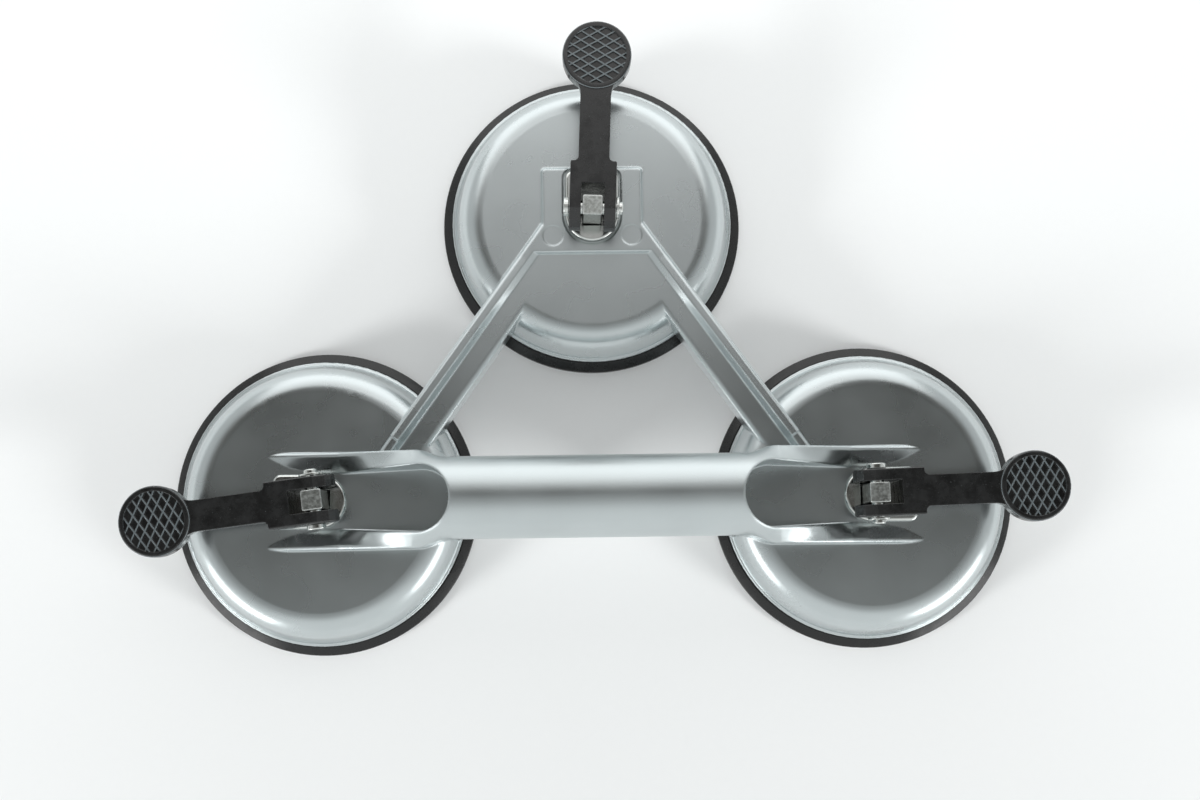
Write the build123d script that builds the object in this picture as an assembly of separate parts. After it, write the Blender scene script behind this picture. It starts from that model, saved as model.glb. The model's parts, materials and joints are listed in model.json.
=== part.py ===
from build123d import *
import math
import os

os.makedirs("parts", exist_ok=True)

# Triple suction cup lifter. Sizes in millimetres, angles in degrees.
# +X runs along the grip bar, +Y points at the rear cup, +Z is up, and the pads stand on z = 0.

# Layout of the three cups
front_spacing = 210.2
rear_setback = 109.5

# Rubber suction pads, drawn with the centre pulled up as it is when the lever is down
pad_radius = 59.0
pad_rim_height = 4.8
pad_edge_round = 0.7
pad_edge_height = 2.6
pad_slope_width = 3.4
pad_seal_width = 9.0
pad_rise = 4.5
pad_web = 4.0
pad_rim_gap = 0.2
pad_crown_margin = 1.5
pad_wall_gap = 2.0

# Domed cup plates of the casting
plate_radius = 55.2
flange_width = 2.9
flange_thickness = 3.0
flange_round = 0.5
flange_foot_round = 0.5
wall_draft = 17.0
plate_height = 22.5
shoulder_round = 10.0
plate_wall = 3.0

# Grip bar between the front plates, cored from below
bar_radius = 15.3
bar_axis_height = 42.0
bar_wall = 3.8
bar_slot_width = 17.0
bar_slot_corner = 5.0
bar_core_end_wall = 8.0

# Pocket scooped into each end of the bar, and the walls that carry the bar down onto the plate
pocket_inset = 1.2
pocket_half_width = 12.0
pocket_mouth = 8.1
pocket_draft = 1.0
bar_run_on = 3.5
flare_length = 14.0
flare_share = 0.7
wall_half_width = 18.2
wall_splay = 0.5
wall_fade_out = 22.6
wall_fade_power = 1.5
wall_fade_shares = (0, 0.25, 0.5, 0.75, 0.92)
wall_sink = 0.6
wall_sink_run = 3.0
wall_taper = 1.2
mouth_ridge_share = 0.44
ridge_drop = 3.0
rim_rise = 3.6
band_bow = 0.3
ridge_round = 1.3
flare_round = 4.5

# Struts between the rear plate and the bar walls
strut_setback = 22.5
strut_width = 14.4
strut_height = 13.0
strut_wall = 2.8
strut_round = 2.0
strut_root = 10.0
rib_crest_width = 4.0
rib_rear_flank = 2.4
rib_front_flank = 1.4
rib_front_height = 5.5
rib_outer_round = 2.0
rib_inner_round = 0.5
rib_foot_round = 0.5
rib_toe_length = 8.0
rib_toe_drop = 1.2
rib_root = 3.0

# Raised platform on the rear plate
platform_half_width = 19.8
platform_height = 1.3
platform_back = 19.1
platform_side_end = 2.5
platform_front = 15.1
platform_corner_round = 1.8
platform_draft = 35.0
platform_edge_round = 0.6
ejector_mark_x = 15.2
ejector_mark_y = 7.9
ejector_mark_radius = 4.0
ejector_mark_depth = 0.2

# Steel wear plates under the cams
wear_thickness = 2.0
wear_half_width = 10.4
wear_reach = 17.5
wear_corner_round = 3.0
wear_edge_round = 1.2
wear_seat_gap = 0.9
wear_side_gap = 0.2

# Square stems, the discs that they pull on, and the springs round them
stem_side = 7.6
stem_edge_round = 0.8
stem_above_pin = 5.6
stem_hole_gap = 0.1
stem_swivel_spare = 0.6
tenon_radius = 2.6
tenon_flare = 0.9
tenon_gap = 0.03
disc_radius = 19.0
disc_thickness = 2.0
disc_edge_round = 0.5
seat_gap = 0.1
spring_wire = 1.6
spring_mean_radius = 10.5
spring_turns = 3

# Cam levers
pin_height = 11.8
cam_gap = 0.2
cam_drop = 3.4
lever_swing = 100.0
cam_arcs = 5
fork_width = 17.6
fork_slot_width = 8.9
fork_slot_end = 8.5
fork_shoulder = 16.8
fork_top = 5.5
fork_edge_round = 0.6
cam_flat_end = 11.0
facet_low_in = 0.4
facet_low_height = 1.0
facet_mid_in = 2.8
facet_mid_height = 3.6
facet_start = 1.2
arm_width = 11.6
arm_thickness = 8.4
shoulder_fillet = 1.8
arm_core_width = 6.0
arm_core_roof = 3.0
arm_core_margin = 4.0
lever_reach = 57.8
thumb_radius = 13.15
thumb_thickness = 7.0
thumb_proud = 0.9
thumb_edge_round = 0.9
thumb_rim = 1.95
thumb_recess = 1.1
thumb_neck_round = 9.0
diamond_length = 3.7
diamond_width = 6.2
diamond_rib_width = 0.9
diamond_crest_width = 0.5
diamond_rib_height = 0.75
left_lever_angle = 7.2
right_lever_angle = 1.6
rear_lever_angle = -2.4

# Pivot pins and their clips
pin_radius = 2.5
pin_gap = 0.05
pin_head_radius = 3.6
pin_head_thickness = 1.9
pin_head_round = 0.5
pin_side_gap = 0.3
pin_tail = 1.6
pin_tail_round = 0.4
clip_thickness = 0.8
clip_groove_depth = 0.7
clip_radius = 4.4
clip_band = 1.3
clip_prong_width = 1.6
clip_prong_angle = 112.0
clip_gap = 0.05

# Two corners closer than this are one corner
same_spot = 0.01

# Levels and places worked out from the sizes above
plate_bottom = pad_rim_height + pad_rim_gap
flange_top = plate_bottom + flange_thickness
wall_radius = plate_radius - flange_width
ceiling = plate_height - plate_wall
cup_x = front_spacing / 2
pocket_end = cup_x - wall_radius + pocket_inset
strut_front_x = cup_x - strut_setback
wear_top = plate_height + wear_thickness
pin_z = wear_top + pin_height
pad_top = pad_rise + pad_web
disc_bottom = pad_top + seat_gap
disc_top = disc_bottom + disc_thickness
platform_top = plate_height + platform_height
pocket_mouth_half_width = wear_half_width + wear_side_gap
lever_yaws = {"left": left_lever_angle, "right": right_lever_angle, "rear": rear_lever_angle}
swivel_play = math.radians(max(abs(yaw) for yaw in lever_yaws.values()) + stem_swivel_spare)
stem_hole = stem_side * (math.cos(swivel_play) + math.sin(swivel_play)) + 2 * stem_hole_gap
rear_tip = rear_setback + lever_reach * math.cos(math.radians(rear_lever_angle)) + thumb_radius
front_y = -(rear_tip - pad_radius) / 2
rear_y = front_y + rear_setback
cups = {
    "left": (-cup_x, front_y, 180.0),
    "right": (cup_x, front_y, 0.0),
    "rear": (0.0, rear_y, 90.0),
}


def outline_face(*curves):
    """A face inside a closed run of lines and arcs."""
    return make_face([edge for curve in curves for edge in curve.edges()])


def block(x0, x1, y0, y1, z0, z1):
    """A box between two corners."""
    middle = Pos((x0 + x1) / 2, (y0 + y1) / 2, (z0 + z1) / 2)
    return middle * Box(x1 - x0, y1 - y0, z1 - z0)


def round_section(wall, top, bottom, roll):
    """Half section of a dish: a flat top that rolls over into an upright wall."""
    flat = Line((0, top), (wall - roll, top))
    bend = CenterArc((wall - roll, top - roll), roll, 0, 90)
    side = Polyline((wall, top - roll), (wall, bottom), (0, bottom), (0, top))
    return outline_face(flat, bend, side)


def domed_plate():
    """One cup plate, filled to its axis: rim lip, wall that leans out by the draft, and rolled shoulder."""
    lean = math.radians(wall_draft)
    brow = wall_radius - shoulder_round + shoulder_round * math.tan(math.pi / 4 - lean / 2)
    foot = brow + (plate_height - flange_top) * math.tan(lean)
    section = rounded_outline(
        [
            (0, plate_bottom, 0),
            (plate_radius, plate_bottom, 0),
            (plate_radius, flange_top, flange_round),
            (foot, flange_top, flange_foot_round),
            (brow, plate_height, shoulder_round),
            (0, plate_height, 0),
        ]
    )
    return revolve(Plane.XZ * section, Axis.Z)


def plate_cavity():
    """The hollow under one plate, a wall thinner than the dome all round."""
    below = plate_bottom - flange_thickness
    section = round_section(wall_radius - plate_wall, ceiling, below, shoulder_round - plate_wall)
    return revolve(Plane.XZ * section, Axis.Z)


def end_section(x, low, crest, high, middle, peak):
    """Cross-section of a bar end at x, alike on both sides: upright flank, ridge arc and a band inwards."""
    bottom = flange_top - flange_thickness / 2
    curves = [Polyline((-low[0], low[1]), (-low[0], bottom), (low[0], bottom), low)]
    for side in (1, -1):
        spots = [(side * y, z) for y, z in (low, crest, high, middle, (0, peak))]
        curves.append(ThreePointArc(spots[0], spots[1], spots[2]))
        curves.append(ThreePointArc(spots[2], spots[3], spots[4]))
    return Plane(origin=(x, 0, 0), x_dir=(0, 1, 0), z_dir=(1, 0, 0)) * outline_face(*curves)


def bar_section(x):
    """Cross-section of a bar end where it is still round on top, its ridge arc a quarter of the way up."""
    spots = []
    for share in (0, 1 / 8, 1 / 4, 5 / 8, 1):
        angle = share * math.pi / 2
        spots.append((bar_radius * math.cos(angle), bar_axis_height + bar_radius * math.sin(angle)))
    return end_section(x, spots[0], spots[1], spots[2], spots[3], spots[4][1])


def wall_section(x, outside, ridge, rim_y, rim, rounding, peak):
    """Cross-section where the bar end has become two walls: a band bows from each ridge through the rim."""
    run = outside - rim_y
    rise = rim - ridge
    chord = math.hypot(run, rise)
    turn = math.atan2(run, rise)
    trim = rounding * math.tan(turn / 2)
    low = (outside, ridge - trim)
    high = (outside - trim * run / chord, ridge + trim * rise / chord)
    crest_y = outside - rounding + rounding * math.cos(turn / 2)
    crest = (crest_y, ridge - trim + rounding * math.sin(turn / 2))
    return end_section(x, low, crest, high, (rim_y, rim), peak)


def fading_section(x, outside, ridge, rim):
    """Cross-section of the walls beside the pocket's mouth, where each band runs on almost straight."""
    inside = pocket_mouth_half_width
    peak = rim - (ridge - rim) * inside / (outside - inside) + band_bow
    return wall_section(x, outside, ridge, inside, rim, ridge_round, peak)


def bar_end():
    """One end of the bar: it flares into two ridged walls, which run down and sink into the plate."""
    run_on = pocket_end + bar_run_on
    flare_end = pocket_end + flare_length
    middle = (run_on + flare_end) / 2
    mouth = cup_x - pocket_mouth
    fade = cup_x + wall_fade_out
    bar_rim = bar_axis_height + math.sqrt(bar_radius**2 - pocket_half_width**2)
    ridge_start = bar_axis_height - ridge_drop
    rim_start = bar_axis_height + rim_rise
    mouth_rise = (ridge_start - plate_height) * mouth_ridge_share
    middle_out = bar_radius + (wall_half_width - bar_radius) * flare_share
    middle_ridge = bar_axis_height - ridge_drop / 2
    middle_rim = rim_start + (bar_rim - rim_start) * flare_share
    top = bar_axis_height + bar_radius
    rim_y = pocket_half_width
    start = wall_section(flare_end, wall_half_width, ridge_start, rim_y, rim_start, ridge_round, top)
    flared = [
        bar_section(cup_x - wall_radius),
        bar_section(run_on),
        wall_section(middle, middle_out, middle_ridge, rim_y, middle_rim, flare_round, top),
        start,
    ]
    ramp = [start]
    for share in wall_fade_shares:
        x = mouth + (fade - mouth) * share
        splay = wall_splay * (x - flare_end) / (fade - flare_end)
        ridge = plate_height + mouth_rise * (1 - share) ** wall_fade_power
        rim = plate_height - wall_taper * share
        ramp.append(fading_section(x, wall_half_width + splay, ridge, rim))
    sunk = plate_height - wall_sink
    ramp.append(fading_section(fade + wall_sink_run, wall_half_width + wall_splay, sunk, sunk - wall_taper))
    return loft(flared) + loft(ramp, ruled=True)


def pocket():
    """The scoop at one end of the bar, wider upwards by the draft of the mould."""
    centre = pocket_end + pocket_half_width
    mouth = cup_x - pocket_mouth
    far = cup_x + plate_radius
    plan = outline_face(
        Polyline(
            (centre, pocket_half_width),
            (mouth, pocket_mouth_half_width),
            (far, pocket_mouth_half_width),
            (far, -pocket_mouth_half_width),
            (mouth, -pocket_mouth_half_width),
            (centre, -pocket_half_width),
        ),
        ThreePointArc(
            (centre, -pocket_half_width), (pocket_end, 0), (centre, pocket_half_width)
        ),
    )
    depth = bar_axis_height + bar_radius - plate_height
    return Pos(0, 0, plate_height) * extrude(plan, 2 * depth, taper=-pocket_draft)


def rounded_outline(corners):
    """A face inside a polygon given as (x, y, rounding), with each corner rounded by its own radius."""
    spots = [Vector(x, y) for x, y, rounding in corners]
    curves = []
    last = len(corners) - 1
    ends = []
    for k, (x, y, rounding) in enumerate(corners):
        back = (spots[k - 1] - spots[k]).normalized()
        ahead = (spots[0 if k == last else k + 1] - spots[k]).normalized()
        if rounding == 0:
            ends.append((spots[k], spots[k]))
            continue
        half = math.acos(back.dot(ahead)) / 2
        trim = rounding / math.tan(half)
        inset = rounding / math.sin(half) - rounding
        middle = spots[k] + (back + ahead).normalized() * inset
        ends.append((spots[k] + back * trim, spots[k] + ahead * trim))
        curves.append(ThreePointArc(ends[k][0], middle, ends[k][1]))
    for k in range(len(corners)):
        curves.append(Line(ends[k - 1][1], ends[k][0]))
    return outline_face(*curves)


def strut_section(x, crest, flank):
    """Cross-section of a strut at x along it: a rounded flange, and a rib with a broad outer round."""
    bottom = plate_height - strut_height
    corners = [
        (0, bottom, 0),
        (0, crest, rib_outer_round),
        (-rib_crest_width, crest, rib_inner_round),
        (-rib_crest_width - flank, plate_height, rib_foot_round),
        (-strut_width, plate_height, strut_round),
        (-strut_width, bottom, 0),
    ]
    return Plane(origin=(x, 0, 0), x_dir=(0, 1, 0), z_dir=(1, 0, 0)) * rounded_outline(corners)


def strut():
    """One strut: a channel open below, with a rounded rib along its outer edge that ends in a lower toe."""
    rear = Vector(platform_half_width, rear_setback - platform_side_end)
    front = Vector(strut_front_x, wall_half_width)
    run = front - rear
    length = run.length
    along = Plane(origin=(rear.X, rear.Y, 0), x_dir=(run.X, run.Y, 0), z_dir=(0, 0, 1))
    rise_start = (platform_front - platform_side_end) * length / abs(run.Y)
    toe = length - rib_toe_length
    end = length + rib_root
    peak = plate_height + rib_front_height
    body = loft(
        [
            strut_section(-strut_root, platform_top, rib_rear_flank),
            strut_section(rise_start, platform_top, rib_rear_flank),
            strut_section(toe, peak, rib_front_flank),
        ],
        ruled=True,
    )
    low = peak - rib_toe_drop
    toe_sections = [strut_section(x, low, rib_front_flank) for x in (toe, end)]
    body += loft(toe_sections, ruled=True)
    bottom = plate_height - strut_height
    flange = rounded_outline(
        [
            (0, bottom, 0),
            (0, plate_height, 0),
            (-strut_width, plate_height, strut_round),
            (-strut_width, bottom, 0),
        ]
    )
    front_end = Plane(origin=(toe, 0, 0), x_dir=(0, 1, 0), z_dir=(1, 0, 0)) * flange
    body += extrude(front_end, length + strut_root - toe)
    roof = plate_height - strut_wall
    body -= block(-strut_root, length, strut_wall - strut_width, -strut_wall, 0, roof)
    return along * body


def platform_plan(shrink):
    """Outline of the house-shaped platform, drawn in by the same distance on every side."""
    slant = (strut_front_x - platform_half_width) / (rear_setback - platform_side_end - wall_half_width)
    lean = math.hypot(1, slant)
    inset = (rib_crest_width / 2 + shrink) * lean
    half = platform_half_width - shrink
    back = platform_back - shrink
    front = platform_front - shrink
    corner = platform_corner_round - shrink
    foot = platform_half_width + (front - platform_side_end) * slant - inset
    side_end = platform_side_end + (inset - shrink) / slant
    return outline_face(
        Polyline(
            (half, back - corner),
            (half, -side_end),
            (foot, -front),
            (-foot, -front),
            (-half, -side_end),
            (-half, back - corner),
        ),
        CenterArc((corner - half, back - corner), corner, 90, 90),
        Line((corner - half, back), (half - corner, back)),
        CenterArc((half - corner, back - corner), corner, 0, 90),
    )


def platform():
    """The platform on the rear plate, with sides sloped by its draft and a rounded top edge."""
    plan = platform_plan(0)
    shrunk = platform_plan(platform_height * math.tan(math.radians(platform_draft)))
    base = Pos(0, rear_setback, ceiling + plate_wall / 2) * extrude(plan, plate_wall / 2)
    low = Pos(0, rear_setback, plate_height) * plan
    high = Pos(0, rear_setback, platform_top) * shrunk
    slab = base + loft([low, high], ruled=True)
    return fillet(slab.edges().group_by(Axis.Z)[-1], platform_edge_round)


def wear_plan(grow):
    """Plan of a wear plate: round about the stem, straight sides, and two rounded outer corners."""
    half = wear_half_width + grow
    reach = wear_reach + grow
    corner = wear_corner_round + grow
    return outline_face(
        ThreePointArc((0, half), (-half, 0), (0, -half)),
        Line((0, -half), (reach - corner, -half)),
        CenterArc((reach - corner, -half + corner), corner, 270, 90),
        Line((reach, -half + corner), (reach, half - corner)),
        CenterArc((reach - corner, half - corner), corner, 0, 90),
        Line((reach - corner, half), (0, half)),
    )


def cast_frame():
    """The whole casting, worked out with the bar on y = 0."""
    spots = [Pos(-cup_x, 0, 0), Pos(cup_x, 0, 0), Pos(0, rear_setback, 0)]
    half = bar_end() - pocket() + strut()
    bar = Pos(0, 0, bar_axis_height) * Rot(0, 90, 0) * Cylinder(bar_radius, front_spacing - 2 * wall_radius)
    body = bar + half + mirror(half, about=Plane.YZ)
    for spot in spots:
        body += spot * domed_plate()
    body += platform()
    cavity = plate_cavity()
    hole = Pos(0, 0, plate_height) * Box(stem_hole, stem_hole, 2 * (plate_wall + platform_height))
    for spot in spots:
        body -= spot * (cavity + hole)
    seat = extrude(wear_plan(wear_seat_gap), wear_thickness)
    body -= Pos(0, rear_setback, plate_height) * Rot(0, 0, 90) * seat
    mark = Cylinder(ejector_mark_radius, 2 * ejector_mark_depth)
    for side in (-1, 1):
        body -= Pos(side * ejector_mark_x, rear_setback - ejector_mark_y, platform_top) * mark
    core_half = pocket_end - bar_core_end_wall
    core = Pos(0, 0, bar_axis_height) * Rot(0, 90, 0) * Cylinder(bar_radius - bar_wall, 2 * core_half)
    slot = extrude(RectangleRounded(2 * core_half, bar_slot_width, bar_slot_corner), bar_axis_height)
    body -= core + slot
    return Pos(0, front_y, 0) * body


def suction_pad():
    """One rubber pad, drawn up in the middle: flat sealing ring, domed hollow, and a crown for the disc."""
    seal = pad_radius - pad_seal_width
    dome = (seal**2 + pad_rise**2) / (2 * pad_rise)
    half_way = seal / 2
    half_z = pad_rise - dome + math.sqrt(dome**2 - half_way**2)
    crown = disc_radius + pad_crown_margin
    shoulder = wall_radius - plate_wall - pad_wall_gap
    corners = [
        (seal, 0, 0),
        (pad_radius, 0, pad_edge_round),
        (pad_radius, pad_edge_height, pad_edge_round),
        (pad_radius - pad_slope_width, pad_rim_height, pad_edge_round),
        (shoulder, pad_rim_height, 0),
        (crown, pad_top, 0),
        (0, pad_top, 0),
        (0, 0, 0),
    ]
    hollow = outline_face(
        ThreePointArc((0, pad_rise), (half_way, half_z), (seal, 0)),
        Polyline((seal, 0), (0, 0), (0, pad_rise)),
    )
    section = rounded_outline(corners) - hollow
    return revolve(Plane.XZ * section, Axis.Z)


def tenon(grow):
    """The round end of a stem, spread into a cone where it is riveted in the disc."""
    root = Pos(0, 0, disc_bottom + disc_thickness / 2) * Cylinder(tenon_radius + grow, disc_thickness)
    rivet = Pos(0, 0, disc_bottom + tenon_flare / 2)
    rivet = rivet * Cone(tenon_radius + tenon_flare + grow, tenon_radius + grow, tenon_flare)
    return root + rivet


def backing_disc():
    """The steel disc on the rubber's crown, with a countersunk hole for the stem's tenon."""
    disc = Pos(0, 0, disc_bottom + disc_thickness / 2) * Cylinder(disc_radius, disc_thickness)
    disc = fillet(disc.edges().filter_by(GeomType.CIRCLE), disc_edge_round)
    return disc - tenon(tenon_gap)


def stem():
    """The square stem with a cross hole for the pin and a riveted tenon below."""
    half = stem_side / 2
    shank = block(-half, half, -half, half, disc_top, pin_z + stem_above_pin)
    shank = fillet(shank.edges().filter_by(Axis.Z), stem_edge_round)
    shank = fillet(shank.edges().group_by(Axis.Z)[-1], stem_edge_round / 2)
    cross = Pos(0, 0, pin_z) * Rot(90, 0, 0) * Cylinder(pin_radius + pin_gap, 2 * stem_side)
    return shank + tenon(0) - cross


def wear_plate():
    """The steel plate under the cam, with a rounded upper edge and a square hole for the stem."""
    plate = Pos(0, 0, plate_height) * extrude(wear_plan(0), wear_thickness)
    plate = fillet(plate.edges().group_by(Axis.Z)[-1], wear_edge_round)
    return plate - Pos(0, 0, plate_height) * Box(stem_hole, stem_hole, 4 * wear_thickness)


def helix_arcs(radius, bottom, top, turns):
    """A coil as a run of arc pairs, one pair for each quarter turn, that keep the coil's direction."""
    quarters = 4 * turns
    climb = (top - bottom) / (turns * 2 * math.pi)
    points = []
    headings = []
    for k in range(quarters + 1):
        angle = k * math.pi / 2
        points.append(Vector(radius * math.cos(angle), radius * math.sin(angle), bottom + climb * angle))
        headings.append(Vector(-radius * math.sin(angle), radius * math.cos(angle), climb).normalized())
    arcs = []
    for k in range(quarters):
        gap = points[k + 1] - points[k]
        both = headings[k] + headings[k + 1]
        a = both.dot(both) - 4
        b = gap.dot(both)
        reach = (b - math.sqrt(b * b - a * gap.dot(gap))) / a
        leave = points[k] + headings[k] * reach
        arrive = points[k + 1] - headings[k + 1] * reach
        middle = (leave + arrive) / 2
        arcs.append(Edge.make_tangent_arc(points[k], headings[k], middle))
        arcs.append(Edge.make_tangent_arc(middle, arrive - leave, points[k + 1]))
    return arcs


def return_spring():
    """The coil spring between the disc and the underside of the plate, one unbroken wire."""
    bottom = disc_top + seat_gap + spring_wire / 2
    top = ceiling - seat_gap - spring_wire / 2
    arcs = helix_arcs(spring_mean_radius, bottom, top, spring_turns)
    section = Plane(origin=arcs[0].position_at(0), z_dir=arcs[0].tangent_at(0)) * Circle(spring_wire / 2)
    samples = [arc.position_at(t / 4) for arc in arcs for t in range(4)]
    turn = 4 * 2 * 4
    between = min((samples[i + turn] - samples[i]).length for i in range(len(samples) - turn)) - spring_wire
    print("least gap between turns of the spring:", round(between, 3), "mm")
    return sweep(section, path=Wire(arcs))


def cam_point(angle):
    """Where the cam touches the wear plate when the lever is raised by an angle, about the pin."""
    fall = cam_drop / math.radians(lever_swing)
    turn = math.radians(angle)
    support = pin_height - cam_gap - fall * turn
    u = -support * math.sin(turn) + fall * math.cos(turn)
    v = -support * math.cos(turn) - fall * math.sin(turn)
    return (u, v)


def fork():
    """The forked end of a lever with its cam, before the slot is cut."""
    arm_bottom = fork_top - arm_thickness
    steps = [lever_swing * k / (2 * cam_arcs) for k in range(2 * cam_arcs + 1)]
    curve = [cam_point(angle) for angle in steps]
    arcs = [ThreePointArc(curve[2 * k], curve[2 * k + 1], curve[2 * k + 2]) for k in range(cam_arcs)]
    start = curve[0]
    end = curve[-1]
    rest = Polyline(
        end,
        (end[0] + facet_low_in, facet_low_height),
        (end[0] + facet_mid_in, facet_mid_height),
        (-facet_start, fork_top),
        (fork_shoulder, fork_top),
        (fork_shoulder, arm_bottom),
        (cam_flat_end, start[1]),
        start,
    )
    side = outline_face(*arcs, rest)
    body = extrude(Plane.XZ * side, fork_width / 2, both=True)
    cheeks = body.faces().sort_by(Axis.Y)
    rims = cheeks[0].edges() + cheeks[-1].edges()
    return fillet(rims, fork_edge_round)


def lever_arm():
    """The arm from the fork's shoulder to the thumb pad, flared at both ends and thinner at the pad."""
    bottom = fork_top - arm_thickness
    pad_bottom = fork_top + thumb_proud - thumb_thickness
    inner = fork_shoulder - shoulder_fillet
    neck = lever_reach - thumb_radius
    bar = Pos((inner + lever_reach) / 2, 0) * Rectangle(lever_reach - inner, arm_width)
    yoke_width = fork_width - 2 * fork_edge_round
    yoke = Pos((inner + fork_shoulder) / 2, 0) * Rectangle(fork_shoulder - inner, yoke_width)
    disc = Pos(lever_reach, 0) * Circle(thumb_radius - thumb_edge_round)
    plan = bar + yoke + disc
    edge_y = arm_width / 2
    on_arm = [v for v in plan.vertices() if abs(abs(v.Y) - edge_y) < same_spot]
    shoulder = [v for v in on_arm if abs(v.X - fork_shoulder) < same_spot]
    plan = fillet(shoulder, shoulder_fillet)
    throat = [v for v in plan.vertices() if v.X > neck and abs(abs(v.Y) - edge_y) < same_spot]
    plan = fillet(throat, thumb_neck_round)
    side = Polyline(
        (inner, fork_top),
        (lever_reach + thumb_radius, fork_top),
        (lever_reach + thumb_radius, pad_bottom + thumb_edge_round),
        (neck, pad_bottom + thumb_edge_round),
        (fork_shoulder, bottom),
        (inner, bottom),
        close=True,
    )
    profile = extrude(Plane.XZ * make_face(side), fork_width, both=True)
    arm = extrude(plan, 2 * arm_thickness, both=True) & profile
    return arm


def diamond_ribs(floor, radius):
    """Two crossing sets of low ridges that leave diamonds between them, trimmed to a round field."""
    lean = math.degrees(math.atan2(diamond_width, diamond_length))
    spacing = diamond_length * diamond_width / math.hypot(diamond_length, diamond_width)
    half = diamond_rib_width / 2
    crest = diamond_crest_width / 2
    top = diamond_rib_height
    ridge = Polyline((-half, 0), (half, 0), (crest, top), (-crest, top), close=True)
    prism = Pos(-2 * radius, 0, 0) * extrude(Plane.YZ * make_face(ridge), 4 * radius)
    count = int(radius / spacing)
    field = Pos(0, 0, floor) * extrude(Circle(radius), thumb_recess)
    ribs = []
    for turn in (lean, -lean):
        for k in range(-count, count + 1):
            ribs.append(Pos(0, 0, floor) * Rot(0, 0, turn) * Pos(0, (k + 0.5) * spacing, 0) * prism)
    return field & (Part() + ribs)


def cam_lever():
    """One lever with the pin axis through the origin and the arm along +X."""
    rim_top = fork_top + thumb_proud
    floor = rim_top - thumb_recess
    thumb = Pos(lever_reach, 0, rim_top - thumb_thickness / 2) * Cylinder(thumb_radius, thumb_thickness)
    thumb = fillet(thumb.edges().filter_by(GeomType.CIRCLE), thumb_edge_round)
    body = fork() + lever_arm() + thumb
    field = thumb_radius - thumb_rim
    body -= Pos(lever_reach, 0, floor) * extrude(Circle(field), 2 * thumb_recess)
    body += Pos(lever_reach, 0, 0) * diamond_ribs(floor, field)
    half_slot = fork_slot_width / 2
    tall = 2 * (pin_height + fork_top)
    body -= block(-fork_shoulder, fork_slot_end, -half_slot, half_slot, -tall, tall)
    body -= Rot(90, 0, 0) * Cylinder(pin_radius + pin_gap, 2 * fork_width)
    core_end = lever_reach - thumb_radius - arm_core_margin
    half_core = arm_core_width / 2
    body -= block(fork_shoulder, core_end, -half_core, half_core, -tall, fork_top - arm_core_roof)
    return body


def pivot_pin():
    """One pin on the axis of +Y: a flat head at one end, a groove for the clip near the other."""
    inside = fork_width / 2 + pin_side_gap
    groove_end = inside + clip_thickness + 2 * clip_gap
    tip = groove_end + pin_tail
    neck = pin_radius - clip_groove_depth
    head = inside + pin_head_thickness
    section = outline_face(
        Polyline(
            (0, -tip),
            (pin_radius - pin_tail_round, -tip),
            (pin_radius, -tip + pin_tail_round),
            (pin_radius, -groove_end),
            (neck, -groove_end),
            (neck, -inside),
            (pin_radius, -inside),
            (pin_radius, inside),
            (pin_head_radius, inside),
            (pin_head_radius, head - pin_head_round),
        ),
        CenterArc((pin_head_radius - pin_head_round, head - pin_head_round), pin_head_round, 0, 90),
        Polyline((pin_head_radius - pin_head_round, head), (0, head), (0, -tip)),
    )
    return revolve(section, Axis.Y)


def retaining_clip():
    """The clip in the pin's groove: an open ring with three prongs that reach in to the groove."""
    grip = pin_radius - clip_groove_depth + clip_gap
    ring = Circle(clip_radius) - Circle(clip_radius - clip_band)
    prong_length = clip_radius - clip_band / 2 - grip
    prong = Pos(grip + prong_length / 2, 0) * Rectangle(prong_length, clip_prong_width)
    for angle in (0, clip_prong_angle, -clip_prong_angle):
        ring += Rot(0, 0, angle) * prong
    ring -= Circle(grip)
    ring -= Pos(-clip_radius, 0) * Rectangle(2 * clip_radius, 2 * grip)
    start = -(fork_width / 2 + pin_side_gap + clip_gap)
    return Pos(0, start, 0) * Rot(90, 0, 0) * extrude(ring, clip_thickness)


export_step(cast_frame(), "parts/cast_frame.step")
pad = suction_pad()
disc = backing_disc()
shank = stem()
spring = return_spring()
wear = wear_plate()
lever = Pos(0, 0, pin_z) * cam_lever()
pin = Pos(0, 0, pin_z) * pivot_pin()
clip = Pos(0, 0, pin_z) * retaining_clip()
for cup, (x, y, outward) in cups.items():
    fixed = Pos(x, y, 0) * Rot(0, 0, outward)
    turned = fixed * Rot(0, 0, lever_yaws[cup])
    export_step(fixed * pad, f"parts/{cup}_suction_pad.step")
    export_step(fixed * wear, f"parts/{cup}_wear_plate.step")
    export_step(turned * disc, f"parts/{cup}_backing_disc.step")
    export_step(turned * shank, f"parts/{cup}_stem.step")
    export_step(turned * spring, f"parts/{cup}_return_spring.step")
    export_step(turned * lever, f"parts/{cup}_cam_lever.step")
    export_step(turned * pin, f"parts/{cup}_pivot_pin.step")
    export_step(turned * clip, f"parts/{cup}_retaining_clip.step")
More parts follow.
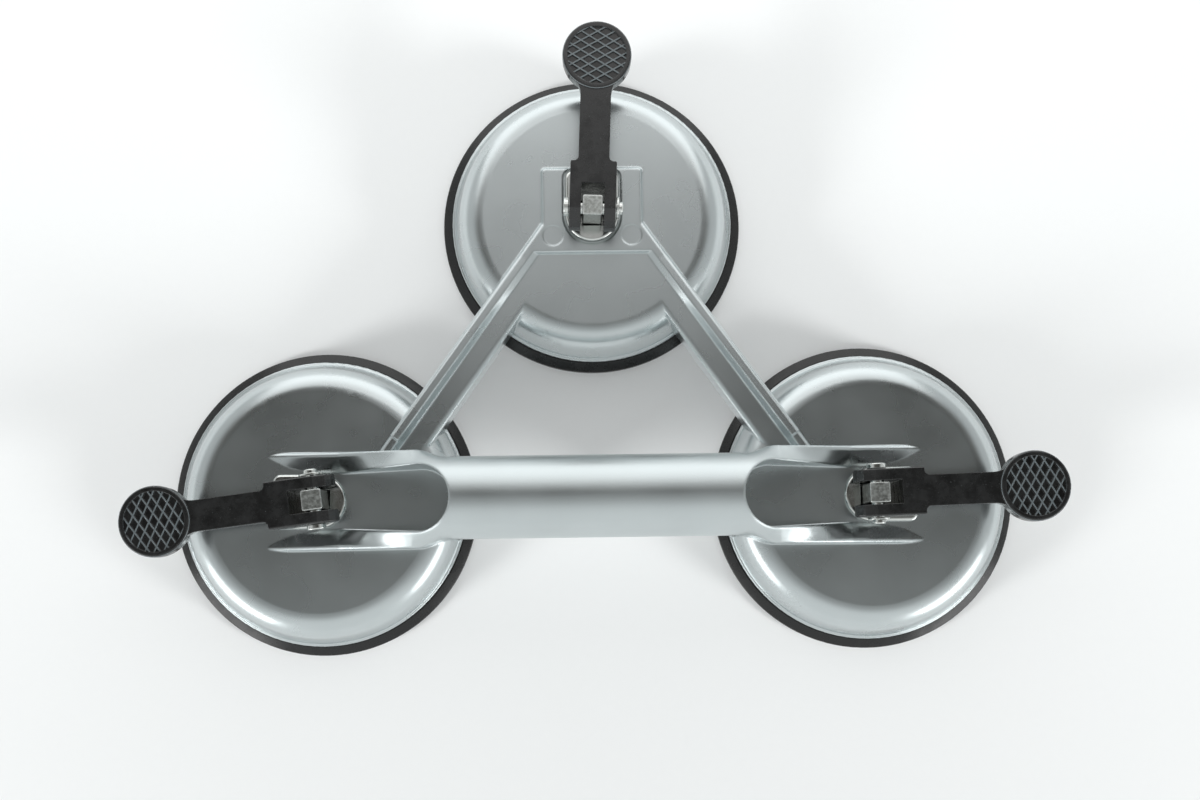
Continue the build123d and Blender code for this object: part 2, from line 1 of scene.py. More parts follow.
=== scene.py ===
import bpy
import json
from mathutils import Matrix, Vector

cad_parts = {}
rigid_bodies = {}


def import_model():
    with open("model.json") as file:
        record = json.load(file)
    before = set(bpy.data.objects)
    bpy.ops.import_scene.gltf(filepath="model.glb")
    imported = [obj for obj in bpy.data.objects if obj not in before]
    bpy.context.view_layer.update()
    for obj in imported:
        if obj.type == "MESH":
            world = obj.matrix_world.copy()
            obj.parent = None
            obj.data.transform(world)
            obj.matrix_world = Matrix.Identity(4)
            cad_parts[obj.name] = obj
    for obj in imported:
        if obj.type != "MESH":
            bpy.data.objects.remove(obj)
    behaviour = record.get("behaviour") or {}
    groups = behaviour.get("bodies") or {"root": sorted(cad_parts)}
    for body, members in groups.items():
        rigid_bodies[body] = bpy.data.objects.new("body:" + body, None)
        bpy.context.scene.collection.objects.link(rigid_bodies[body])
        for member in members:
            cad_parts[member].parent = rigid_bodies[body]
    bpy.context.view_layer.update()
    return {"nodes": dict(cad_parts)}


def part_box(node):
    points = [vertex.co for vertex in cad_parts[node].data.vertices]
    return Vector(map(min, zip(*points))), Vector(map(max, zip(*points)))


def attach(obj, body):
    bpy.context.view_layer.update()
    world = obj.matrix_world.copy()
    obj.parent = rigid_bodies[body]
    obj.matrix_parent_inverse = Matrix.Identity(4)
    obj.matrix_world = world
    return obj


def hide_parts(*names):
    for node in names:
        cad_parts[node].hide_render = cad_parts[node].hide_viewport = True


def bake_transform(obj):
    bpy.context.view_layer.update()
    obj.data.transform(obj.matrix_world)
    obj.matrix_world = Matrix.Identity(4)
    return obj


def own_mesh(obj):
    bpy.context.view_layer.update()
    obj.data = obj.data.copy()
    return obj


# %% [markdown]
# # A triple suction cup lifter
# The lifter is a cast frame on three rubber cups. A cam lever on each cup pulls the middle of its rubber up
# from the glass, and the suction holds. The measured solids come in as a fixed frame, and this lesson adds
# a camera, light, finishes and the rubber. Blender may open with a cube and a lamp in the scene, so those
# go first.

# %% Load the solids
for leftover in list(bpy.data.objects):
    bpy.data.objects.remove(leftover)
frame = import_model()
nodes = frame["nodes"]
cups = ["left", "right", "rear"]

# %% [markdown]
# ## Helpers for finishes
# Colours are written as sRGB hex, the way a paint chart gives them, but shaders work in linear light. So
# one function undoes the sRGB curve. A second one adds a shader node with its settings and its links, which
# keeps each finish readable as a short list. Some sockets share a name, so they go by number: a Map Range
# reads from 1 to 2 and gives 3 to 4, and a colour Mix blends 6 into 7 by the share at 0.

# %% Colour and node helpers
import numpy as np


def linear(code):
    """Each sRGB channel c becomes c / 12.92 near black, and ((c + 0.055) / 1.055) to the power 2.4 above
    that."""
    c = np.array([int(code[k:k + 2], 16) for k in (1, 3, 5)]) / 255
    light = np.where(c <= 0.04045, c / 12.92, ((c + 0.055) / 1.055) ** 2.4)
    return (*light.tolist(), 1.0)


def add(tree, kind, settings=None, links=None):
    """Adds one node. A setting goes to the input socket of that name or number, or else to the node."""
    made = tree.nodes.new("ShaderNode" + kind)
    for name, value in (settings or {}).items():
        if isinstance(name, int) or name in made.inputs:
            made.inputs[name].default_value = value
        else:
            setattr(made, name, value)
    for name, source in (links or {}).items():
        tree.links.new(source, made.inputs[name])
    return made


def per_mm(size):
    """Scale of a noise whose blobs are about this many millimetres across, in a scene in metres."""
    return 1000 / size


def new_finish(name):
    """An empty material and its node tree, ready for a shader and an output."""
    finish = bpy.data.materials.new(name)
    finish.use_nodes = True
    finish.node_tree.nodes.clear()
    return finish, finish.node_tree


# %% [markdown]
# ## Camera
# The lifter was photographed from nearly straight above, from a little in front of the bar, with a 48 mm
# lens on a full frame sensor. The place and the small tilts could be set by eye, but fitting the three
# cups' circles to the picture is more exact.

# %% Camera over the bench
import math

lens = bpy.data.cameras.new("bench_camera")
lens.lens = 48.0
lens.sensor_width = 36.0
camera = bpy.data.objects.new("bench_camera", lens)
camera.location = (-0.00768, -0.0866, 0.63253)
camera.rotation_euler = [math.radians(v) for v in (5.948, -0.832, -0.798)]
bpy.context.scene.collection.objects.link(camera)
bpy.context.scene.camera = camera
bpy.context.scene.view_settings.view_transform = "Standard"
print("camera height in mm:", round(1000 * camera.location.z, 1))

# %% [markdown]
# ## Paper
# The bench is covered with matt white paper. A picture of paper could be laid over it, but it would repeat.
# A plain shader with almost no shine gives the sheet here, and a faint noise gives the mottle of its
# fibres.

# %% Paper finish
paper, tree = new_finish("matt_white_paper")
place = add(tree, "TexCoord")
fibre = add(tree, "TexNoise", {"Scale": per_mm(3.0), "Detail": 4.0}, {"Vector": place.outputs["Object"]})
tone = add(tree, "MapRange", {3: 0.985, 4: 1.0}, {"Value": fibre.outputs["Fac"]})
depth = add(tree, "SeparateXYZ", {}, {"Vector": place.outputs["Object"]})
# The paper is painted a little greyer towards the front and whitest at the back: a painted shade for the
# dimmer light at the front.
front = add(tree, "MapRange", {"interpolation_type": "SMOOTHSTEP", 1: -0.22, 2: 0.10, 3: 0.88, 4: 1.0},
            {"Value": depth.outputs["Y"]})
shade = add(tree, "Math", {"operation": "MULTIPLY"},
            {0: tone.outputs["Result"], 1: front.outputs["Result"]})
tint = add(tree, "Mix", {"data_type": "RGBA", "blend_type": "MULTIPLY", 0: 1.0, 6: linear("#f7f9f9")},
           {7: shade.outputs["Value"]})
sheet = add(tree, "BsdfPrincipled", {"Roughness": 0.8, "Specular IOR Level": 0.2},
            {"Base Color": tint.outputs[2]})
print(paper.name, "nodes:", len(tree.nodes))

# %% [markdown]
# ## White backdrop
# Far from the lifter the paper is a plain white backdrop. More lamps could wash it evenly, but they would
# light the lifter too. So part of the paper glows at the strength of white, for the eye, in mirrors and
# through glass only, and lights nothing. Round the lifter that part is a fifth, so that the shadows stay,
# and nearly a half in mirrors. It is the whole from 0.6 m outwards, where the lamps don't reach evenly.

# %% Backdrop in the paper


def backdrop_rays(tree):
    """The kinds of ray, and a 1 for those that see the backdrop: the eye's, a mirror's or through glass."""
    ray = add(tree, "LightPath")
    seen = add(tree, "Math", {"operation": "MAXIMUM"},
               {0: ray.outputs["Is Camera Ray"], 1: ray.outputs["Is Glossy Ray"]})
    seen = add(tree, "Math", {"operation": "MAXIMUM"},
               {0: seen.outputs["Value"], 1: ray.outputs["Is Transmission Ray"]})
    return ray, seen


white = add(tree, "Emission", {"Strength": 1.0}, {"Color": tint.outputs[2]})
ray, seen = backdrop_rays(tree)
near = add(tree, "MapRange", {3: 0.45, 4: 0.2}, {"Value": ray.outputs["Is Camera Ray"]})
reach = add(tree, "VectorMath", {"operation": "LENGTH"}, {0: place.outputs["Object"]})
plain = add(tree, "MapRange", {"interpolation_type": "SMOOTHSTEP", 1: 0.28, 2: 0.60, 4: 1.0},
            {"Value": reach.outputs["Value"], 3: near.outputs["Result"]})
share = add(tree, "Math", {"operation": "MULTIPLY"},
            {0: seen.outputs["Value"], 1: plain.outputs["Result"]})
lit = add(tree, "MixShader", {},
          {0: share.outputs["Value"], 1: sheet.outputs["BSDF"], 2: white.outputs["Emission"]})
add(tree, "OutputMaterial", {}, {"Surface": lit.outputs["Shader"]})
print(paper.name, "nodes with the backdrop:", len(tree.nodes))

# %% [markdown]
# ## Surfaces from grids
# The paper, the rubber and the springs are each a sheet of points with two directions, u and v. They could
# be modelled by hand from Blender's own shapes, but as arrays their sizes can be read off the formulas. One
# function joins such a grid into faces, and wraps it round where the sheet is a ring or a tube.

# %% Grid helper
import bmesh

# Points closer than a thousandth of a millimetre become one point.
weld = 1e-6


def grid_mesh(name, points, closed_u=False, closed_v=False):
    """Joins a grid of points, rows along u and columns along v, into quads, wrapping round where it is
    closed. Points on one spot, as at a pole, are welded, and the faces are turned to point outwards."""
    rows, columns = points.shape[:2]
    u = np.arange(rows if closed_u else rows - 1)[:, None]
    v = np.arange(columns if closed_v else columns - 1)[None, :]
    ahead_u = (u + 1) % rows
    ahead_v = (v + 1) % columns
    quads = np.stack([u * columns + v, ahead_u * columns + v,
                      ahead_u * columns + ahead_v, u * columns + ahead_v], -1)
    mesh = bpy.data.meshes.new(name)
    mesh.from_pydata(points.reshape(-1, 3), [], quads.reshape(-1, 4))
    shell = bmesh.new()
    shell.from_mesh(mesh)
    bmesh.ops.remove_doubles(shell, verts=shell.verts, dist=weld)
    bmesh.ops.recalc_face_normals(shell, faces=shell.faces)
    shell.to_mesh(mesh)
    shell.free()
    mesh.polygons.foreach_set("use_smooth", np.ones(len(mesh.polygons), bool))
    made = bpy.data.objects.new(name, mesh)
    bpy.context.scene.collection.objects.link(made)
    return made


# %% [markdown]
# ## Paper sheet
# Paper never lies dead flat, so the sheet is a wide grid with buckles of a fraction of a millimetre, which
# bend the shadows' edges a little. A bump map could fake them, but not where the sheet is seen from low
# down. Under the cups it stays flat, because the rubber stands on it.

# %% Paper sheet
# In metres: flat out to the first reach, buckles that grow over the next stretch, and flat past the last.
flat_reach, growth, last_reach = 0.24, 0.15, 2.0
# Each wave is its height in metres, its radians per metre along u and along v, and its start in radians.
waves = [(0.0003, 17, 9, 0.0), (0.0002, -11, 23, 1.3)]
# In metres: both waves are lowered so far that the sheet never stands above the cups' feet.
lowered = 0.0005
# The grid is fine under the lifter and ever coarser outwards, so that the sheet runs on to 12 m each way.
even_half, coarse_half, grid_lines = 1.5, 10.5, 201


def paper_sheet(u, v):
    """A flat sheet lowered by two long shallow waves, each the sine of a sum of u and v, which die out
    under the cups and again far away."""
    reach = np.hypot(u, v)
    away = np.clip((reach - flat_reach) / growth, 0, 1) ** 2 * np.clip(last_reach - reach, 0, 1)
    wave = sum(height * np.sin(along_u * u + along_v * v + start)
               for height, along_u, along_v, start in waves)
    return np.stack([u, v, away * (wave - lowered)], -1)


spread = np.linspace(-1, 1, grid_lines)
across = even_half * spread + coarse_half * spread ** 5
floor = grid_mesh("paper_floor", paper_sheet(*np.meshgrid(across, across, indexing="ij")))
floor.data.materials.append(paper)
print("paper faces:", len(floor.data.polygons))

# %% [markdown]
# ## Lamps
# Two hard keys stand low in front, far to the left and the right: each throws a shadow of every cup, and
# behind the lifter the two shadows cross. A wide softbox behind and a small panel overhead light the tops,
# and two low panels draw the bright streaks along the bar and the walls. Satin metal shows mostly what it
# mirrors, so each lamp is set by how bright it looks in the metal.

# %% Lamps
from mathutils import Vector


def softbox(name, turn, rise, distance, size, glow, mirrored=True):
    """An area lamp at a turn from the rear (+Y) and a rise above the bench, aimed at the lifter's middle.
    Its power is pi times its area times the glow, which is how bright it shows in a mirror."""
    lamp = bpy.data.lights.new(name, "AREA")
    lamp.shape = "RECTANGLE"
    lamp.size, lamp.size_y = size
    lamp.energy = math.pi * size[0] * size[1] * glow
    made = bpy.data.objects.new(name, lamp)
    turn, rise = math.radians(turn), math.radians(rise)
    way = Vector((math.sin(turn) * math.cos(rise), math.cos(turn) * math.cos(rise), math.sin(rise)))
    made.location = way * distance
    made.rotation_euler = way.to_track_quat("Z", "Y").to_euler()
    made.visible_camera = False
    made.visible_glossy = mirrored
    bpy.context.scene.collection.objects.link(made)


softbox("rear_softbox", turn=0, rise=34, distance=0.42, size=(0.75, 0.48), glow=0.95)
softbox("top_panel", turn=0, rise=71, distance=0.40, size=(0.24, 0.18), glow=0.42)
for name, way in (("left", -1), ("right", 1)):
    softbox(f"{name}_panel", turn=way * 130, rise=9, distance=0.76, size=(0.42, 0.26), glow=2.6)
    softbox(f"{name}_key", turn=way * 118, rise=19, distance=1.50, size=(0.30, 0.30), glow=62.0,
            mirrored=False)

# %% [markdown]
# ## Room
# The room is pale near the floor and dark overhead, and it is this dark ceiling that makes the flat tops of
# the cups grey while their rolled edges stay bright. A picture of a real room could light the scene, but a
# few smooth ramps over the direction of view do the same and leave no furniture in the reflections.

# %% Room
room = bpy.data.worlds.new("pale_room")
room.use_nodes = True
tree = room.node_tree
tree.nodes.clear()
way = add(tree, "TexCoord")
split = add(tree, "SeparateXYZ", {}, {"Vector": way.outputs["Generated"]})
# The dark part of the ceiling is centred 13 degrees behind the point straight above the lifter.
ceiling = add(tree, "VectorMath", {"operation": "DOT_PRODUCT", 1: (0.0, 0.225, 0.974)},
              {0: way.outputs["Generated"]})
walls = add(tree, "MapRange", {"interpolation_type": "SMOOTHSTEP", 1: 0.96, 2: 0.60, 3: 0.03, 4: 0.58},
            {"Value": ceiling.outputs["Value"]})
# Towards the front the room gets lighter, quickly near the top and then more slowly.
over = add(tree, "MapRange", {1: 0.06, 2: -0.12, 3: 0.03, 4: 0.42}, {"Value": split.outputs["Y"]})
front = add(tree, "MapRange", {1: 0.06, 2: -0.60, 3: 0.03, 4: 0.84}, {"Value": split.outputs["Y"]})
front = add(tree, "Math", {"operation": "MAXIMUM"}, {0: over.outputs["Result"], 1: front.outputs["Result"]})
level = add(tree, "Math", {"operation": "MAXIMUM"}, {0: walls.outputs["Result"], 1: front.outputs["Value"]})
# Matt surfaces take only part of the room's light, so that the paper keeps the shadows of the two keys.
ray, seen = backdrop_rays(tree)
share = add(tree, "MapRange", {3: 1.0, 4: 0.7}, {"Value": ray.outputs["Is Diffuse Ray"]})
dimmed = add(tree, "Math", {"operation": "MULTIPLY"},
             {0: level.outputs["Value"], 1: share.outputs["Result"]})
# At the horizon the room is as white as the paper, to the eye, to mirrors and through glass.
low = add(tree, "MapRange", {"interpolation_type": "SMOOTHSTEP", 1: 0.16, 2: 0.05},
          {"Value": split.outputs["Z"]})
skirt = add(tree, "Math", {"operation": "MULTIPLY"}, {0: low.outputs["Result"], 1: seen.outputs["Value"]})
dimmed = add(tree, "Math", {"operation": "MAXIMUM"},
             {0: dimmed.outputs["Value"], 1: skirt.outputs["Value"]})
# The dark ceiling is a little warmer than the pale walls.
air = add(tree, "MapRange", {1: 0.03, 2: 0.30}, {"Value": level.outputs["Value"]})
tint = add(tree, "Mix", {"data_type": "RGBA", 6: linear("#fff8ec"), 7: linear("#fafdfd")},
           {0: air.outputs["Result"]})
glow = add(tree, "Background", {}, {"Color": tint.outputs[2], "Strength": dimmed.outputs["Value"]})
add(tree, "OutputWorld", {}, {"Surface": glow.outputs["Background"]})
bpy.context.scene.world = room
print(room.name, "nodes:", len(tree.nodes))

# %% [markdown]
# ## Die-cast aluminium
# The frame is a pressure die casting, shot blasted and left satin. Shot leaves a fine grain of dimples, so
# the metal has a broad sheen instead of a mirror. On the plates the dimples are too fine to show and only
# dull the sheen, while on the bar a bump map draws them. Edges of a casting are never sharp, so the shading
# normal is rounded over about a millimetre, which draws the bright lines along the ribs and the pockets'
# rims.

# %% Dressing helper


def dress(names, finish):
    """Puts one finish on a list of solids."""
    for name in names:
        nodes[name].data.materials.clear()
        nodes[name].data.materials.append(finish)
    print(finish.name, "on", len(names), "solids")


# %% Cast aluminium finish
cast, tree = new_finish("shot_blasted_cast_aluminium")
place = add(tree, "TexCoord")
# Grain of about half a millimetre: real shot marks are finer, but would not show at this distance.
grain = add(tree, "TexNoise", {"Scale": per_mm(0.55), "Detail": 2.0}, {"Vector": place.outputs["Object"]})
cloud = add(tree, "TexNoise", {"Scale": per_mm(22.0), "Detail": 3.0}, {"Vector": place.outputs["Object"]})
height = add(tree, "SeparateXYZ", {}, {"Vector": place.outputs["Object"]})
# Round the bar and its pockets, high and in front, the casting's edges are fuller.
raised = add(tree, "MapRange", {1: 0.027, 2: 0.034}, {"Value": height.outputs["Z"]})
ahead = add(tree, "MapRange", {1: -0.030, 2: -0.040}, {"Value": height.outputs["Y"]})
grip = add(tree, "Math", {"operation": "MULTIPLY"},
           {0: raised.outputs["Result"], 1: ahead.outputs["Result"]})
edge = add(tree, "MapRange", {3: 0.0010, 4: 0.0016}, {"Value": grip.outputs["Value"]})
soft = add(tree, "Bevel", {"samples": 8}, {"Radius": edge.outputs["Result"]})
# Only what is higher than 40 mm, the top of the bar, shows its grain.
pitted = add(tree, "MapRange", {1: 0.040, 2: 0.048, 4: 0.14}, {"Value": height.outputs["Z"]})
dimple = add(tree, "Bump", {"Distance": 0.0003},
             {"Strength": pitted.outputs["Result"], "Height": grain.outputs["Fac"],
              "Normal": soft.outputs["Normal"]})
# The sheen is a little cloudy all over, and duller towards the top of the bar, where it is gripped.
cloudy = add(tree, "MapRange", {1: 0.3, 2: 0.7, 3: 0.26, 4: 0.30}, {"Value": cloud.outputs["Fac"]})
worn = add(tree, "MapRange", {1: 0.036, 2: 0.048, 4: 0.09}, {"Value": height.outputs["Z"]})
sheen = add(tree, "Math", {"operation": "ADD"}, {0: cloudy.outputs["Result"], 1: worn.outputs["Result"]})
tone = add(tree, "Mix", {"data_type": "RGBA", 6: linear("#c6cdce"), 7: linear("#d4dbdc")},
           {0: cloud.outputs["Fac"]})
metal = add(tree, "BsdfPrincipled", {"Metallic": 1.0},
            {"Base Color": tone.outputs[2], "Roughness": sheen.outputs["Value"],
             "Normal": dimple.outputs["Normal"]})
add(tree, "OutputMaterial", {}, {"Surface": metal.outputs["BSDF"]})
dress(["cast_frame"], cast)

# %% [markdown]
# ## Zinc plated steel
# Pins, clips, discs and wear plates are mild steel with bright zinc plate. The plate is shinier than the
# casting and a little cloudy. One even grey would look like chrome, so a soft noise varies both its tint
# and its sheen.

# %% Zinc plate finish
zinc, tree = new_finish("zinc_plated_steel")
place = add(tree, "TexCoord")
cloud = add(tree, "TexNoise", {"Scale": per_mm(2.5), "Detail": 4.0}, {"Vector": place.outputs["Object"]})
soft = add(tree, "Bevel", {"samples": 8, "Radius": 0.0004})
ripple = add(tree, "Bump", {"Strength": 0.03, "Distance": 0.0003},
             {"Height": cloud.outputs["Fac"], "Normal": soft.outputs["Normal"]})
sheen = add(tree, "MapRange", {1: 0.3, 2: 0.7, 3: 0.11, 4: 0.19}, {"Value": cloud.outputs["Fac"]})
tone = add(tree, "Mix", {"data_type": "RGBA", 6: linear("#d3d5d1"), 7: linear("#e6e9e7")},
           {0: cloud.outputs["Fac"]})
metal = add(tree, "BsdfPrincipled", {"Metallic": 1.0},
            {"Base Color": tone.outputs[2], "Roughness": sheen.outputs["Result"],
             "Normal": ripple.outputs["Normal"]})
add(tree, "OutputMaterial", {}, {"Surface": metal.outputs["BSDF"]})
steel = ["backing_disc", "wear_plate", "pivot_pin", "retaining_clip"]
dress([f"{cup}_{piece}" for cup in cups for piece in steel], zinc)

# %% [markdown]
# ## Sheared stems
# The stems are cut from square bar and plated afterwards. A sheared end is torn into small pits, which hold
# the plating unevenly, so the same zinc is duller here, with a mottle of about a millimetre. A stem's edges
# are painted a paler zinc, a painted highlight. That could be painted on, but the shader can find the edges
# by itself.

# %% Sheared stem finish
sheared, tree = new_finish("sheared_zinc_plated_steel")
place = add(tree, "TexCoord")
mottle = add(tree, "TexNoise", {"Scale": per_mm(0.9), "Detail": 4.0, "Roughness": 0.6},
             {"Vector": place.outputs["Object"]})
soft = add(tree, "Bevel", {"samples": 8, "Radius": 0.0004})
torn = add(tree, "Bump", {"Strength": 0.05, "Distance": 0.0003},
           {"Height": mottle.outputs["Fac"], "Normal": soft.outputs["Normal"]})
sheen = add(tree, "MapRange", {1: 0.35, 2: 0.65, 3: 0.28, 4: 0.42}, {"Value": mottle.outputs["Fac"]})
patch = add(tree, "MapRange", {1: 0.36, 2: 0.62}, {"Value": mottle.outputs["Fac"]})
tone = add(tree, "Mix", {"data_type": "RGBA", 6: linear("#a3a6a2"), 7: linear("#cdd1ce")},
           {0: patch.outputs["Result"]})
# At an edge the rounded normal leans away from the flat face's own.
flat = add(tree, "NewGeometry")
rounded = add(tree, "Bevel", {"samples": 8, "Radius": 0.0011})
lean = add(tree, "VectorMath", {"operation": "DOT_PRODUCT"},
           {0: rounded.outputs["Normal"], 1: flat.outputs["True Normal"]})
painted_highlight = add(tree, "MapRange", {1: 0.995, 2: 0.93}, {"Value": lean.outputs["Value"]})
# The edges are painted a paler zinc: a painted highlight.
tone = add(tree, "Mix", {"data_type": "RGBA", 7: linear("#f0f3f1")},
           {0: painted_highlight.outputs["Result"], 6: tone.outputs[2]})
metal = add(tree, "BsdfPrincipled", {"Metallic": 1.0},
            {"Base Color": tone.outputs[2], "Roughness": sheen.outputs["Result"],
             "Normal": torn.outputs["Normal"]})
add(tree, "OutputMaterial", {}, {"Surface": metal.outputs["BSDF"]})
dress([f"{cup}_stem" for cup in cups], sheared)

# %% [markdown]
# ## Moulded black plastic
# The levers are glass-filled nylon. The mould's spark-eroded face gives a fine grain and a soft sheen, and
# glass fibre near the skin leaves it very dark grey rather than black. The ribs' crests on the pads are
# painted a paler grey, a painted highlight. A mask could be painted for that, but the crests all lie at one
# height, so the shader can pick them out by it.

# %% Black nylon finish
# In metres: how far the crests lie under the lever's highest edge, and by how much that may differ.
crest_drop, crest_reach = 0.00035, 0.00012
crest_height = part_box("rear_cam_lever")[1].z - crest_drop
nylon, tree = new_finish("black_glass_filled_nylon")
place = add(tree, "TexCoord")
grain = add(tree, "TexNoise", {"Scale": per_mm(0.5), "Detail": 3.0}, {"Vector": place.outputs["Object"]})
smudge = add(tree, "TexNoise", {"Scale": per_mm(6.0), "Detail": 6.0, "Roughness": 0.65},
             {"Vector": place.outputs["Object"]})
soft = add(tree, "Bevel", {"samples": 8, "Radius": 0.0004})
skin = add(tree, "Bump", {"Strength": 0.06, "Distance": 0.0002},
           {"Height": grain.outputs["Fac"], "Normal": soft.outputs["Normal"]})
sheen = add(tree, "MapRange", {1: 0.35, 2: 0.65, 3: 0.15, 4: 0.38}, {"Value": smudge.outputs["Fac"]})
tone = add(tree, "Mix", {"data_type": "RGBA", 6: linear("#060607"), 7: linear("#1d1e1e")},
           {0: smudge.outputs["Fac"]})
# Paper dust: where a fine noise peaks, the skin is a paler grey in specks of half a millimetre.
speck = add(tree, "MapRange", {1: 0.70, 2: 0.74}, {"Value": grain.outputs["Fac"]})
dusty = add(tree, "Mix", {"data_type": "RGBA", 7: linear("#4c4f50")},
            {0: speck.outputs["Result"], 6: tone.outputs[2]})
tall = add(tree, "SeparateXYZ", {}, {"Vector": place.outputs["Object"]})
# The rib crests are painted a paler grey: a painted highlight.
crest_highlight_mask = add(tree, "Math", {"operation": "COMPARE", 1: crest_height, 2: crest_reach}, {0: tall.outputs["Z"]})
painted_highlight = add(tree, "Mix", {"data_type": "RGBA", 7: linear("#5c6467")},
             {0: crest_highlight_mask.outputs["Value"], 6: dusty.outputs[2]})
shell = add(tree, "BsdfPrincipled", {"IOR": 1.53, "Specular IOR Level": 0.7},
            {"Base Color": painted_highlight.outputs[2], "Roughness": sheen.outputs["Result"],
             "Normal": skin.outputs["Normal"]})
add(tree, "OutputMaterial", {}, {"Surface": shell.outputs["BSDF"]})
dress([f"{cup}_cam_lever" for cup in cups], nylon)

# %% [markdown]
# ## Black rubber
# The pads are moulded from soft black rubber. A smooth mould leaves it a dull shine, and handling and dust
# break that up. Black alone would look like a hole, so one noise of a few millimetres varies the tone and
# the sheen and makes a very shallow bump.

# %% Rubber finish
rubber, tree = new_finish("moulded_black_rubber")
place = add(tree, "TexCoord")
dust = add(tree, "TexNoise", {"Scale": per_mm(4.0), "Detail": 5.0}, {"Vector": place.outputs["Object"]})
sheen = add(tree, "MapRange", {1: 0.3, 2: 0.7, 3: 0.22, 4: 0.34}, {"Value": dust.outputs["Fac"]})
tone = add(tree, "Mix", {"data_type": "RGBA", 6: linear("#070808"), 7: linear("#101111")},
           {0: dust.outputs["Fac"]})
skin = add(tree, "Bump", {"Strength": 0.08, "Distance": 0.0003}, {"Height": dust.outputs["Fac"]})
black = add(tree, "BsdfPrincipled", {"IOR": 1.52},
            {"Base Color": tone.outputs[2], "Roughness": sheen.outputs["Result"],
             "Normal": skin.outputs["Normal"]})
add(tree, "OutputMaterial", {}, {"Surface": black.outputs["BSDF"]})
print(rubber.name, "nodes:", len(tree.nodes))

# %% [markdown]
# ## Pad profiles
# Each pad is a thick rim that seals on the glass and a thinner middle that the disc lifts. Both are round,
# so a solid of revolution suits them: a profile of radius and height, carried once round the cup's axis.
# Blender's Screw modifier could turn it too, but would hide the few sizes that make the profile.

# %% Pad profiles
# In mm: the rim's top and rounding, the radii of its seal and its outside, and the slope on its top edge.
rim_top, rim_round, seal, outside = 4.8, 0.7, 50.0, 59.0
edge_height, slope_width = 2.6, 3.4
# In mm: the lip inside the seal, and how far the locked middle is pulled up.
lip_reach, lip_height, toe_reach, toe_height = 3.0, 2.0, 2.6, 0.5
pull = 4.5
round_steps, crease_steps, dome_steps = 8, 6, 24


def arc(centre, radius, start, end, steps):
    """Points on a circle from a start to an end angle in degrees, as (radius, height) pairs."""
    angle = np.radians(np.linspace(start, end, steps))
    return np.stack([centre[0] + radius * np.cos(angle), centre[1] + radius * np.sin(angle)], -1)


def dome(rise, reach, steps):
    """A shallow dome: the height is the rise times one minus the square of the radius over the reach."""
    r = np.linspace(0, reach, steps)
    return np.stack([r, rise * (1 - (r / reach) ** 2)], -1)


slope = math.degrees(math.atan2(slope_width, rim_top - edge_height))
inner_lean = rim_round * math.tan(math.radians(90 - slope) / 2)
outer_lean = rim_round * math.tan(math.radians(slope) / 2)
rim_profile = np.concatenate([
    [(seal - lip_reach, lip_height), (seal - toe_reach, toe_height), (seal, 0.0)],
    arc((outside - rim_round, rim_round), rim_round, 270, 360, round_steps),
    arc((outside - rim_round, edge_height - outer_lean), rim_round, 0, slope, round_steps),
    arc((outside - slope_width - inner_lean, rim_top - rim_round), rim_round, slope, 90, crease_steps),
    [(seal, rim_top), (seal - lip_reach, rim_top)],
])
# The middle's edge, which is sunk in the rim, and the crown that the disc sits on, as (radius, height).
border = [(seal - 1.5, 3.2), (47.0, 4.6), (45.5, 4.9)]
crown = [(22, 8.2), (20, 8.5), (0, 8.5)]
middle_profile = np.concatenate([dome(pull, seal, dome_steps), border, crown])
print("profile points:", len(rim_profile), len(middle_profile))

# %% [markdown]
# ## Pads on the cups
# The solid pads give the three axes. A rim stays with the frame. The middle is a piece of its own with its
# own mesh, and it is fixed to the frame as well. On the real lifter the middle flattens on the glass when
# its lever is raised, as the rubber does when the disc comes down.

# %% Pads on the cups
rim_steps, middle_steps = 144, 96


def turned(name, profile, x, y, steps, closed):
    """Carries a profile of (radius, height) in mm round an upright axis: x + r cos a, y + r sin a, z."""
    a = np.linspace(0, 2 * math.pi, steps, endpoint=False)[:, None]
    r, z = profile[None, :, 0] / 1000, profile[None, :, 1] / 1000
    return grid_mesh(name, np.stack([x + r * np.cos(a), y + r * np.sin(a), z + 0 * a], -1), True, closed)


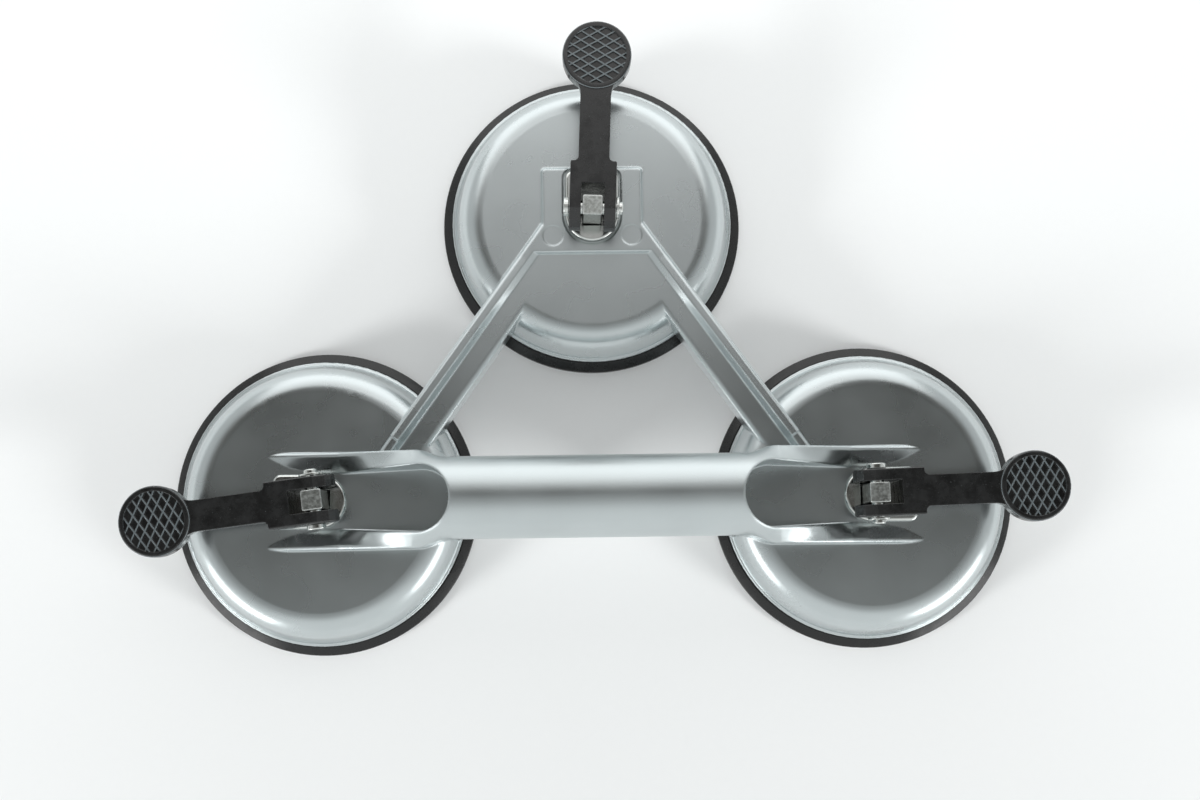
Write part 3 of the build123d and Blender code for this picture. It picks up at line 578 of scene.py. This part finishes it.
for cup in cups:
    low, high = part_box(f"{cup}_suction_pad")
    x, y = (low.x + high.x) / 2, (low.y + high.y) / 2
    rim = turned(f"{cup}_pad_rim", rim_profile, x, y, rim_steps, True)
    middle = turned(f"{cup}_pad_middle", middle_profile, x, y, middle_steps, False)
    for piece in (rim, middle):
        piece.data.materials.append(rubber)
        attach(piece, "frame")
    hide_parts(f"{cup}_suction_pad")
    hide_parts(f"{cup}_suction_pad")
    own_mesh(middle)
print("pads made:", len(cups))

# %% [markdown]
# ## Return springs
# A coil spring hides under each cup and pushes the rubber back down. It is a circle carried along a helix,
# with its end turns flattened so that they sit square. A Screw modifier could wind it, but every turn would
# then rise alike. It fills the solid spring's place between the frame and the disc.

# %% Coil springs
# The wire's thickness in mm, and the most that the climb lags and then leads, as a share of the height.
wire, settle = 1.6, 0.11


def coil(x, y, low, high, radius=10.5, turns=3.0, steps=220, sides=14):
    """A tube along a helix: the height climbs evenly less a sine wave, so both ends lie flatter. A ring of
    the wire's radius stands across the helix, made of its outward direction and the one square to both."""
    t = np.linspace(0, 1, steps)
    a = 2 * math.pi * turns * t
    climb = t - settle * np.sin(2 * math.pi * t)
    middle = np.stack([x + radius * np.cos(a), y + radius * np.sin(a), low + (high - low) * climb], -1)
    ahead = np.gradient(middle, axis=0)
    ahead /= np.linalg.norm(ahead, axis=1, keepdims=True)
    out = np.stack([np.cos(a), np.sin(a), 0 * a], -1)
    up = np.cross(out, ahead)
    ring = np.linspace(0, 2 * math.pi, sides, endpoint=False)[None, :, None]
    tube = middle[:, None] + wire / 2 * (np.cos(ring) * out[:, None] + np.sin(ring) * up[:, None])
    cap = np.repeat(middle[:, None], sides, axis=1)
    return np.concatenate([cap[:1], tube, cap[-1:]]) / 1000


for cup in cups:
    low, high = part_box(f"{cup}_return_spring")
    x, y = 500 * (low.x + high.x), 500 * (low.y + high.y)
    points = coil(x, y, 1000 * low.z + wire / 2, 1000 * high.z - wire / 2)
    spring = grid_mesh(f"{cup}_coil", points, closed_v=True)
    spring.data.materials.append(zinc)
    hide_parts(f"{cup}_return_spring")
    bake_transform(spring)
print("springs made:", len(cups))

# %% [markdown]
# ## Sizes
# The dressed lifter has to stay the size of the measured solids. This last cell only loads Python's json
# module.

# %% Load json
import json
